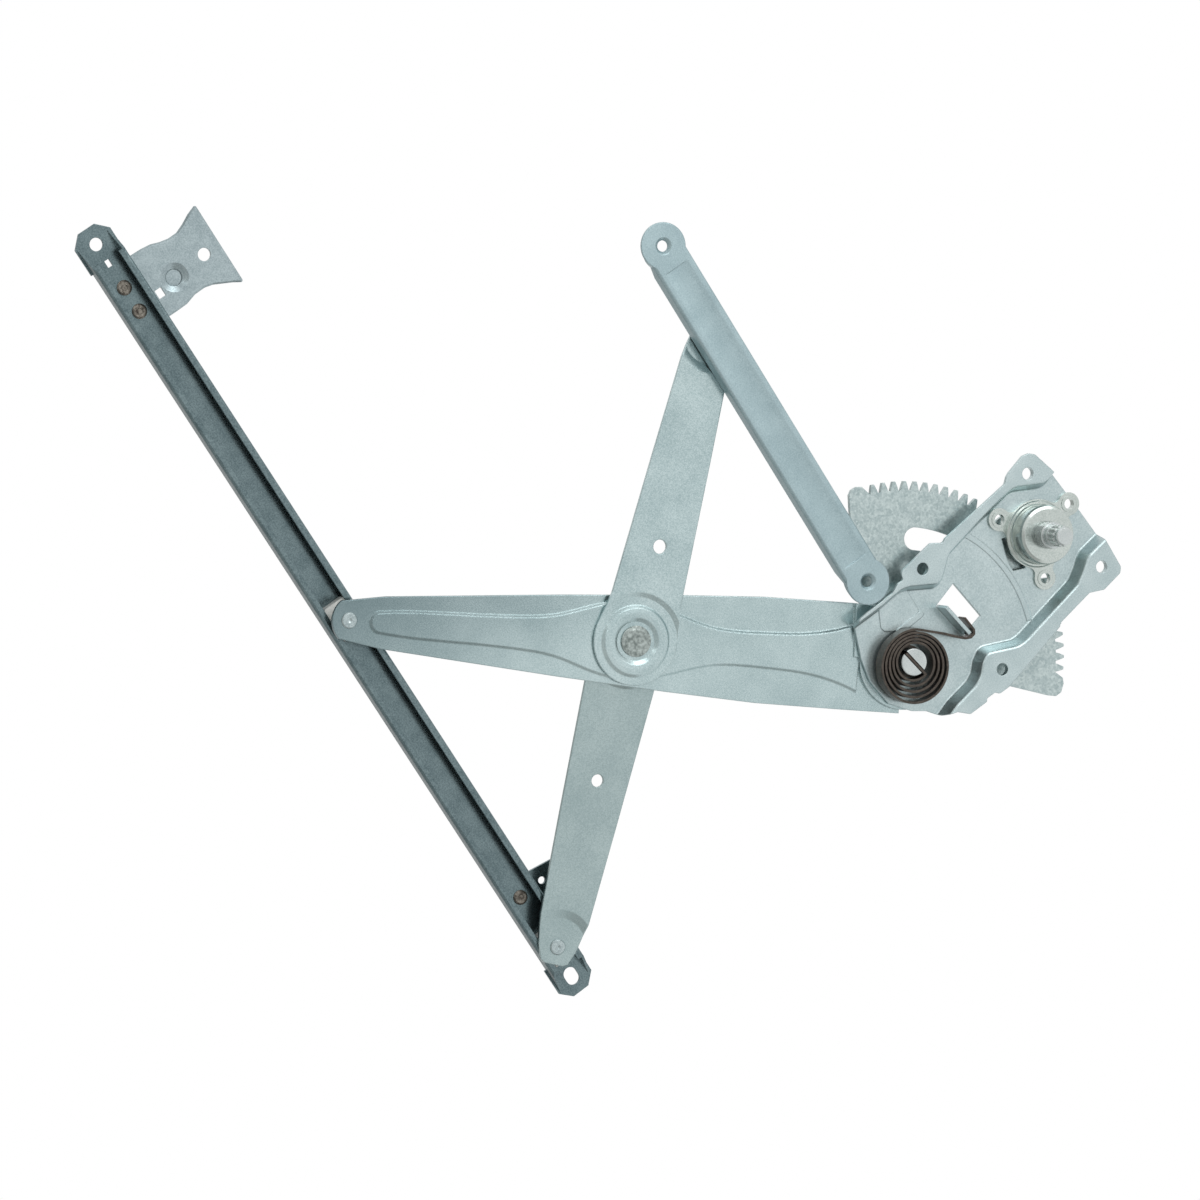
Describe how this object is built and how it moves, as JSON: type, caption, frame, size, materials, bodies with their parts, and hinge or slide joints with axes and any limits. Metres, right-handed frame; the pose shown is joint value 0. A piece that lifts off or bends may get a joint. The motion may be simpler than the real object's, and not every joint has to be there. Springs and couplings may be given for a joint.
{
  "type": "window regulator",
  "caption": "Hand-cranked scissor-arm window regulator with gear sector, spiral counterbalance spring, sliding shoes, glass channel and door guide channel.",
  "frame": {"origin": "on the crank's axis, in the plane where the base plate's rim meets the door's inner panel", "axes": "+X along the channels towards the crank end, +Z the way the glass rises, -Y from the door panel into the cabin, along the crank"},
  "size_m": [0.5111, 0.0606, 0.3937],
  "materials": {
    "zinc_plated_plate": "satin zinc plate on pressed steel",
    "zinc_plated_drum": "satin zinc plate, warm grey",
    "zinc_plated_fixings": "satin zinc plate",
    "steel_crank": "turned steel, lightly oiled",
    "steel_pinion": "greased steel",
    "spring_wire": "oil tempered",
    "galvanised_sector": "hot dip galvanised, spangled",
    "steel_arbor": "turned steel",
    "spring_strip": "oil tempered, dark",
    "zinc_plated_arms": "satin zinc plate on pressed steel",
    "white_nylon": "moulded nylon",
    "dull_zinc_channel": "dull galvanised strip",
    "zinc_plated_guide": "satin zinc plate"
  },
  "bodies": {
    "base": {"base_plate": "zinc_plated_plate", "crank_housing": "zinc_plated_drum", "ear_eyelets": "zinc_plated_fixings", "counterbalance_spring": "spring_strip"},
    "crank": {"crank_shaft": "steel_crank", "pinion_gear": "steel_pinion", "brake_spring": "spring_wire"},
    "lift_linkage": {"lift_arm": "zinc_plated_arms", "sector_gear": "galvanised_sector", "sector_pivot": "steel_arbor", "pivot_retainer": "spring_wire", "arm_rivets": "zinc_plated_fixings", "lift_slider_pin": "zinc_plated_fixings"},
    "equalizer": {"upper_equalizer_arm": "zinc_plated_arms", "lower_equalizer_arm": "zinc_plated_arms", "centre_pivot_pin": "zinc_plated_fixings", "centre_washer": "zinc_plated_fixings", "upper_slider_pin": "zinc_plated_fixings", "lower_slider_pin": "zinc_plated_fixings"},
    "lift_shoe": {"lift_slider_shoe": "white_nylon"},
    "lower_shoe": {"lower_slider_shoe": "white_nylon"},
    "upper_shoe": {"upper_slider_shoe": "white_nylon"},
    "glass_rail": {"glass_channel": "dull_zinc_channel", "bracket_rivets": "zinc_plated_fixings", "upper_glass_bracket": "dull_zinc_channel", "lower_glass_bracket": "dull_zinc_channel"},
    "guide_rail": {"guide_channel": "zinc_plated_guide"}
  },
  "joints": [
    {"name": "arm_swing", "type": "hinge", "parent": "base", "child": "lift_linkage", "pos_m": [0.01358, 0.0125, -0.10311], "axis": [0, 1, 0], "range_deg": [0, 58], "deforming": ["counterbalance_spring"]},
    {"name": "crank_turn", "type": "hinge", "parent": "base", "child": "crank", "pos_m": [0, 0, 0], "axis": [0, 1, 0], "range_deg": [-696, 0]},
    {"name": "equalizer_swing", "type": "hinge", "parent": "lift_linkage", "child": "equalizer", "pos_m": [-0.08581, 0.0125, -0.2269], "axis": [0, 1, 0], "range_deg": [-111.85, 0]},
    {"name": "lift_shoe_turn", "type": "hinge", "parent": "lift_linkage", "child": "lift_shoe", "pos_m": [-0.1852, 0.0225, -0.35069], "axis": [0, 1, 0], "range_deg": [-58, 0]},
    {"name": "lower_shoe_turn", "type": "hinge", "parent": "equalizer", "child": "lower_shoe", "pos_m": [0.02756, 0.0225, -0.35115], "axis": [0, 1, 0], "range_deg": [0, 53.85]},
    {"name": "upper_shoe_turn", "type": "hinge", "parent": "equalizer", "child": "upper_shoe", "pos_m": [-0.19744, 0.0045, -0.10108], "axis": [0, 1, 0], "range_deg": [0, 53.85]},
    {"name": "glass_rail_slide", "type": "slide", "parent": "lower_shoe", "child": "glass_rail", "axis": [1, 0, 0], "range_m": [0, 0.012]},
    {"name": "guide_rail_slide", "type": "slide", "parent": "upper_shoe", "child": "guide_rail", "axis": [-1, 0, 0], "range_m": [0, 0.13]}
  ],
  "couplings": [
    {"joint": "crank_turn", "follows": "arm_swing", "ratio": -12},
    {"joint": "equalizer_swing", "follows": "arm_swing", "ratio": -1.9284},
    {"joint": "lift_shoe_turn", "follows": "arm_swing", "ratio": -1},
    {"joint": "lower_shoe_turn", "follows": "arm_swing", "ratio": 0.9284},
    {"joint": "upper_shoe_turn", "follows": "arm_swing", "ratio": 0.9284}
  ]
}
